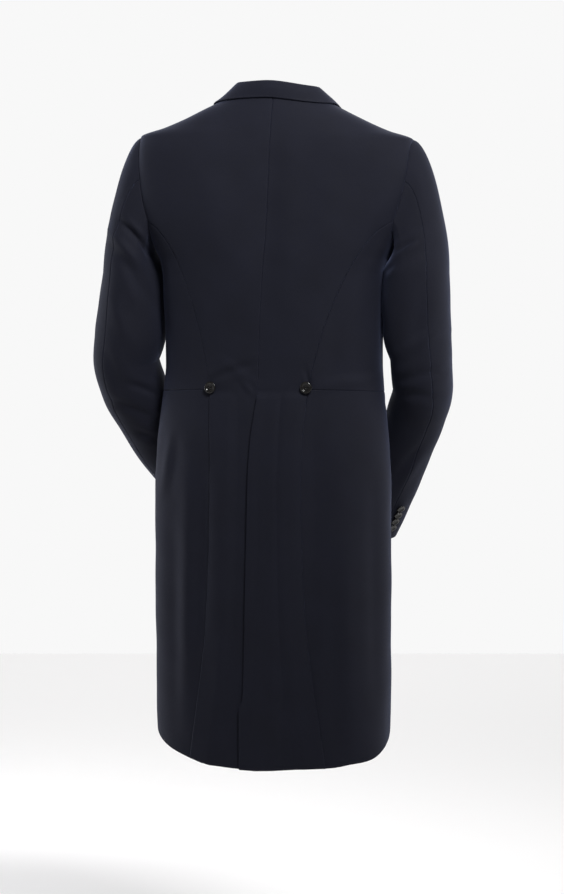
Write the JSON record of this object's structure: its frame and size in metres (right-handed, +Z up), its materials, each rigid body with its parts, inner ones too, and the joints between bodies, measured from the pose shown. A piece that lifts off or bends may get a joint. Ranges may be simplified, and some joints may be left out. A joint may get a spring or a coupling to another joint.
{
  "type": "morning coat",
  "caption": "Single-breasted black worsted morning coat in a worn pose, cut away from the waist to rounded tails, with peaked lapels, a waist seam, side pleats, a centre vent and two-piece sleeves",
  "frame": {"origin": "nape, at the middle of the back neck seam, on the outer face of the cloth, where the wearer's neck or a stand holds the coat", "axes": "+Z up the back of the wearer, -Y ahead of the wearer, +X to the wearer's left"},
  "size_m": [0.6095, 0.3164, 1.132],
  "materials": {
    "black_worsted": "fine matt worsted twill, near black with a blue cast, sheen at grazing angles",
    "black_horn": "polished black horn with a raised rim"
  },
  "bodies": {
    "root": {"back_left": "black_worsted", "back_right": "black_worsted", "side_body_left": "black_worsted", "side_body_right": "black_worsted", "front_left": "black_worsted", "front_right": "black_worsted", "lapel_left": "black_worsted", "lapel_right": "black_worsted", "skirt_left": "black_worsted", "skirt_right": "black_worsted", "collar": "black_worsted", "topsleeve_left": "black_worsted", "topsleeve_right": "black_worsted", "undersleeve_left": "black_worsted", "undersleeve_right": "black_worsted", "waist_button_left": "black_horn", "waist_button_right": "black_horn", "front_button": "black_horn", "cuff_button_left_1": "black_horn", "cuff_button_left_2": "black_horn", "cuff_button_left_3": "black_horn", "cuff_button_left_4": "black_horn", "cuff_button_right_1": "black_horn", "cuff_button_right_2": "black_horn", "cuff_button_right_3": "black_horn", "cuff_button_right_4": "black_horn"}
  },
  "joints": []
}
